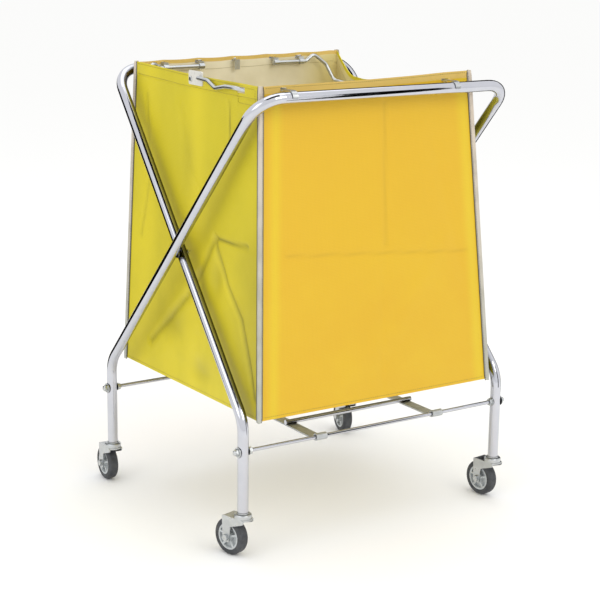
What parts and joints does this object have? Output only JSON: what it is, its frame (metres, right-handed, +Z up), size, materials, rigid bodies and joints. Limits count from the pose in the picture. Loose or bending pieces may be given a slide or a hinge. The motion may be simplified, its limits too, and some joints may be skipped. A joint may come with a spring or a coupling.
{
  "type": "linen trolley",
  "caption": "Folding linen trolley: crossed chromed tube frames, hanging yellow fabric bag, swivel casters, folding rack and stays.",
  "frame": {"origin": "on the floor under the middle of the trolley's outline", "axes": "+Z up, +Y to the rear, +X to the right seen from the front"},
  "size_m": [0.701, 0.645, 0.9333],
  "materials": {
    "front_fabric": "smooth coated amber fabric",
    "side_fabric": "coated lemon fabric",
    "floor_fabric": "coated lemon fabric",
    "piping": "pale bias tape",
    "tyre_rubber": "matt dark grey rubber",
    "hub_plastic": "moulded light grey",
    "zinc_plated_steel": "bright zinc",
    "chromed_rack": "satin chrome",
    "chromed_wire": "bright chrome",
    "chromed_tube": "bright chrome"
  },
  "bodies": {
    "pivots": {"pivot_bolts": "zinc_plated_steel", "pivot_spacers": "zinc_plated_steel", "pivot_inserts": "zinc_plated_steel"},
    "front_bar": {"front_bar_frame": "chromed_tube", "rear_tie_rod": "chromed_tube", "rear_rod_nuts": "zinc_plated_steel", "front_hangers": "chromed_wire", "rl_caster_stem": "zinc_plated_steel", "rr_caster_stem": "zinc_plated_steel"},
    "rear_bar": {"rear_bar_frame": "chromed_tube", "front_tie_rod": "chromed_tube", "front_rod_nuts": "zinc_plated_steel", "rear_hangers": "chromed_wire", "rear_centre_hook": "chromed_wire", "fl_caster_stem": "zinc_plated_steel", "fr_caster_stem": "zinc_plated_steel"},
    "front_rack": {"front_rack_straps": "chromed_rack", "front_rack_bar": "chromed_rack", "rack_middle_rod": "chromed_rack"},
    "rear_rack": {"rear_rack_straps": "chromed_rack", "rear_rack_bar": "chromed_rack"},
    "left_front_stay": {"left_front_stay_rod": "chromed_wire", "left_stay_plate": "chromed_wire", "left_stay_rivet": "chromed_wire"},
    "left_rear_stay": {"left_rear_stay_rod": "chromed_wire"},
    "right_front_stay": {"right_front_stay_rod": "chromed_wire", "right_stay_plate": "chromed_wire", "right_stay_rivet": "chromed_wire"},
    "right_rear_stay": {"right_rear_stay_rod": "chromed_wire"},
    "bag": {"bag_front_panel": "front_fabric", "bag_rear_panel": "side_fabric", "bag_left_panel": "side_fabric", "bag_right_panel": "side_fabric", "bag_floor": "floor_fabric", "bag_corner_piping": "piping"},
    "fl_swivel": {"fl_caster_swivel_cap": "zinc_plated_steel", "fl_caster_fork": "zinc_plated_steel", "fl_caster_axle": "zinc_plated_steel"},
    "fl_wheel": {"fl_caster_hub": "hub_plastic", "fl_caster_tyre": "tyre_rubber"},
    "fr_swivel": {"fr_caster_swivel_cap": "zinc_plated_steel", "fr_caster_fork": "zinc_plated_steel", "fr_caster_axle": "zinc_plated_steel"},
    "fr_wheel": {"fr_caster_hub": "hub_plastic", "fr_caster_tyre": "tyre_rubber"},
    "rl_swivel": {"rl_caster_swivel_cap": "zinc_plated_steel", "rl_caster_fork": "zinc_plated_steel", "rl_caster_axle": "zinc_plated_steel"},
    "rl_wheel": {"rl_caster_hub": "hub_plastic", "rl_caster_tyre": "tyre_rubber"},
    "rr_swivel": {"rr_caster_swivel_cap": "zinc_plated_steel", "rr_caster_fork": "zinc_plated_steel", "rr_caster_axle": "zinc_plated_steel"},
    "rr_wheel": {"rr_caster_hub": "hub_plastic", "rr_caster_tyre": "tyre_rubber"}
  },
  "joints": [
    {"name": "front_frame_fold", "type": "hinge", "parent": "pivots", "child": "front_bar", "pos_m": [0, -0.0036, 0.56365], "axis": [-1, 0, 0], "range_deg": [0, 22.5]},
    {"name": "rear_frame_fold", "type": "hinge", "parent": "pivots", "child": "rear_bar", "pos_m": [0, -0.0036, 0.56365], "axis": [1, 0, 0], "range_deg": [0, 23]},
    {"name": "bag_rise", "type": "slide", "parent": "pivots", "child": "bag", "axis": [0, 0, 1], "range_m": [0, 0.0925], "deforming": ["bag_front_panel", "bag_rear_panel", "bag_left_panel", "bag_right_panel", "bag_floor", "bag_corner_piping"]},
    {"name": "front_rack_lift", "type": "hinge", "parent": "rear_bar", "child": "front_rack", "pos_m": [0, -0.2596, 0.219], "axis": [1, 0, 0], "range_deg": [0, 44]},
    {"name": "rear_rack_lift", "type": "hinge", "parent": "front_bar", "child": "rear_rack", "pos_m": [0, 0.2524, 0.219], "axis": [-1, 0, 0], "range_deg": [0, 44]},
    {"name": "left_front_stay_fold", "type": "hinge", "parent": "front_bar", "child": "left_front_stay", "pos_m": [0, -0.2656, 0.908], "axis": [-1, 0, 0], "range_deg": [0, 44.2]},
    {"name": "left_rear_stay_fold", "type": "hinge", "parent": "rear_bar", "child": "left_rear_stay", "pos_m": [0, 0.2584, 0.908], "axis": [1, 0, 0], "range_deg": [0, 44.2]},
    {"name": "right_front_stay_fold", "type": "hinge", "parent": "front_bar", "child": "right_front_stay", "pos_m": [0, -0.2656, 0.908], "axis": [-1, 0, 0], "range_deg": [0, 35.5]},
    {"name": "right_rear_stay_fold", "type": "hinge", "parent": "rear_bar", "child": "right_rear_stay", "pos_m": [0, 0.2584, 0.908], "axis": [1, 0, 0], "range_deg": [0, 35.5]},
    {"name": "fl_swivel_turn", "type": "hinge", "parent": "rear_bar", "child": "fl_swivel", "pos_m": [-0.305, -0.2596, 0.095], "axis": [0, 0, 1], "continuous": true},
    {"name": "fl_wheel_roll", "type": "hinge", "parent": "fl_swivel", "child": "fl_wheel", "pos_m": [-0.3125, -0.22952, 0.0375], "axis": [0.9703, 0.2419, 0], "continuous": true},
    {"name": "fr_swivel_turn", "type": "hinge", "parent": "rear_bar", "child": "fr_swivel", "pos_m": [0.329, -0.2596, 0.095], "axis": [0, 0, 1], "continuous": true},
    {"name": "fr_wheel_roll", "type": "hinge", "parent": "fr_swivel", "child": "fr_wheel", "pos_m": [0.32576, -0.22877, 0.0375], "axis": [0.9945, 0.1045, 0], "continuous": true},
    {"name": "rl_swivel_turn", "type": "hinge", "parent": "front_bar", "child": "rl_swivel", "pos_m": [-0.329, 0.2524, 0.095], "axis": [0, 0, 1], "continuous": true},
    {"name": "rl_wheel_roll", "type": "hinge", "parent": "rl_swivel", "child": "rl_wheel", "pos_m": [-0.32738, 0.28336, 0.0375], "axis": [0.9986, -0.0523, 0], "continuous": true},
    {"name": "rr_swivel_turn", "type": "hinge", "parent": "front_bar", "child": "rr_swivel", "pos_m": [0.305, 0.2524, 0.095], "axis": [0, 0, 1], "continuous": true},
    {"name": "rr_wheel_roll", "type": "hinge", "parent": "rr_swivel", "child": "rr_wheel", "pos_m": [0.31145, 0.28272, 0.0375], "axis": [0.9781, -0.2079, 0], "continuous": true}
  ],
  "couplings": [
    {"joint": "rear_frame_fold", "follows": "front_frame_fold", "ratio": 1},
    {"joint": "bag_rise", "follows": "front_frame_fold", "m_per_rad": 0.233},
    {"joint": "front_rack_lift", "follows": "front_frame_fold", "ratio": 1.92},
    {"joint": "rear_rack_lift", "follows": "front_frame_fold", "ratio": 1.92},
    {"joint": "left_front_stay_fold", "follows": "front_frame_fold", "ratio": 1.94},
    {"joint": "left_rear_stay_fold", "follows": "front_frame_fold", "ratio": 1.94},
    {"joint": "right_front_stay_fold", "follows": "front_frame_fold", "ratio": 1.557},
    {"joint": "right_rear_stay_fold", "follows": "front_frame_fold", "ratio": 1.557}
  ]
}
